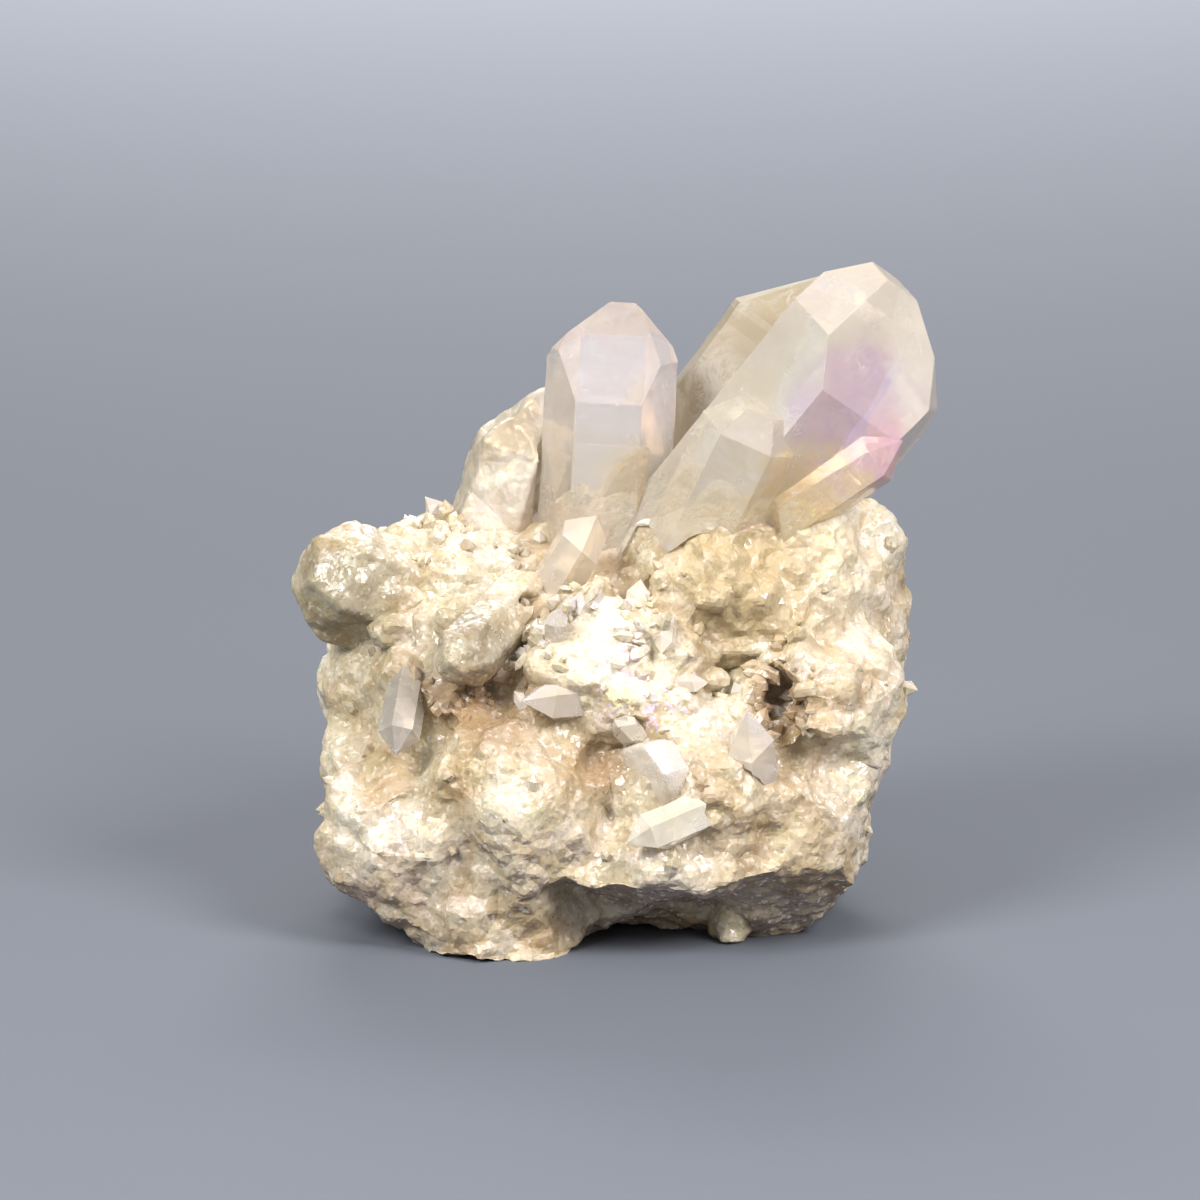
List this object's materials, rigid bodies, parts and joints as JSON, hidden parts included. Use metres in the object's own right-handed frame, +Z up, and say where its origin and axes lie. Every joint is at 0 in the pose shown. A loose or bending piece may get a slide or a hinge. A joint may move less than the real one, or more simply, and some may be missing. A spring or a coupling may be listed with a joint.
{
  "type": "aura quartz cluster",
  "caption": "Free-standing mineral specimen: clear six-sided quartz points with a pale pearly coat, grown on a rough lump of milky quartz with open pockets.",
  "frame": {"origin": "on the surface it stands on, under the middle of its bounding box", "axes": "+Z up, -Y towards the side with the open pockets, +X towards the side that the largest points lean to"},
  "size_m": [0.0656, 0.0524, 0.0667],
  "materials": {
    "milky_quartz": "rough, milky, thinly coated",
    "clear_quartz": "clear, pearly coat",
    "golden_quartz": "clear, golden and pink coat",
    "smoky_quartz": "clear, smoky olive brown",
    "frosted_quartz": "frosted, worn"
  },
  "bodies": {
    "root": {"matrix": "milky_quartz", "centre_point": "clear_quartz", "right_points": "golden_quartz", "rear_point": "smoky_quartz", "left_point": "frosted_quartz", "left_knob": "frosted_quartz", "pocket_stub": "frosted_quartz", "pocket_bar": "golden_quartz", "front_blade": "frosted_quartz", "pocket_point": "clear_quartz", "slope_point": "clear_quartz", "lower_right_point": "clear_quartz", "hanging_point": "golden_quartz", "grey_blade": "frosted_quartz"}
  },
  "joints": []
}
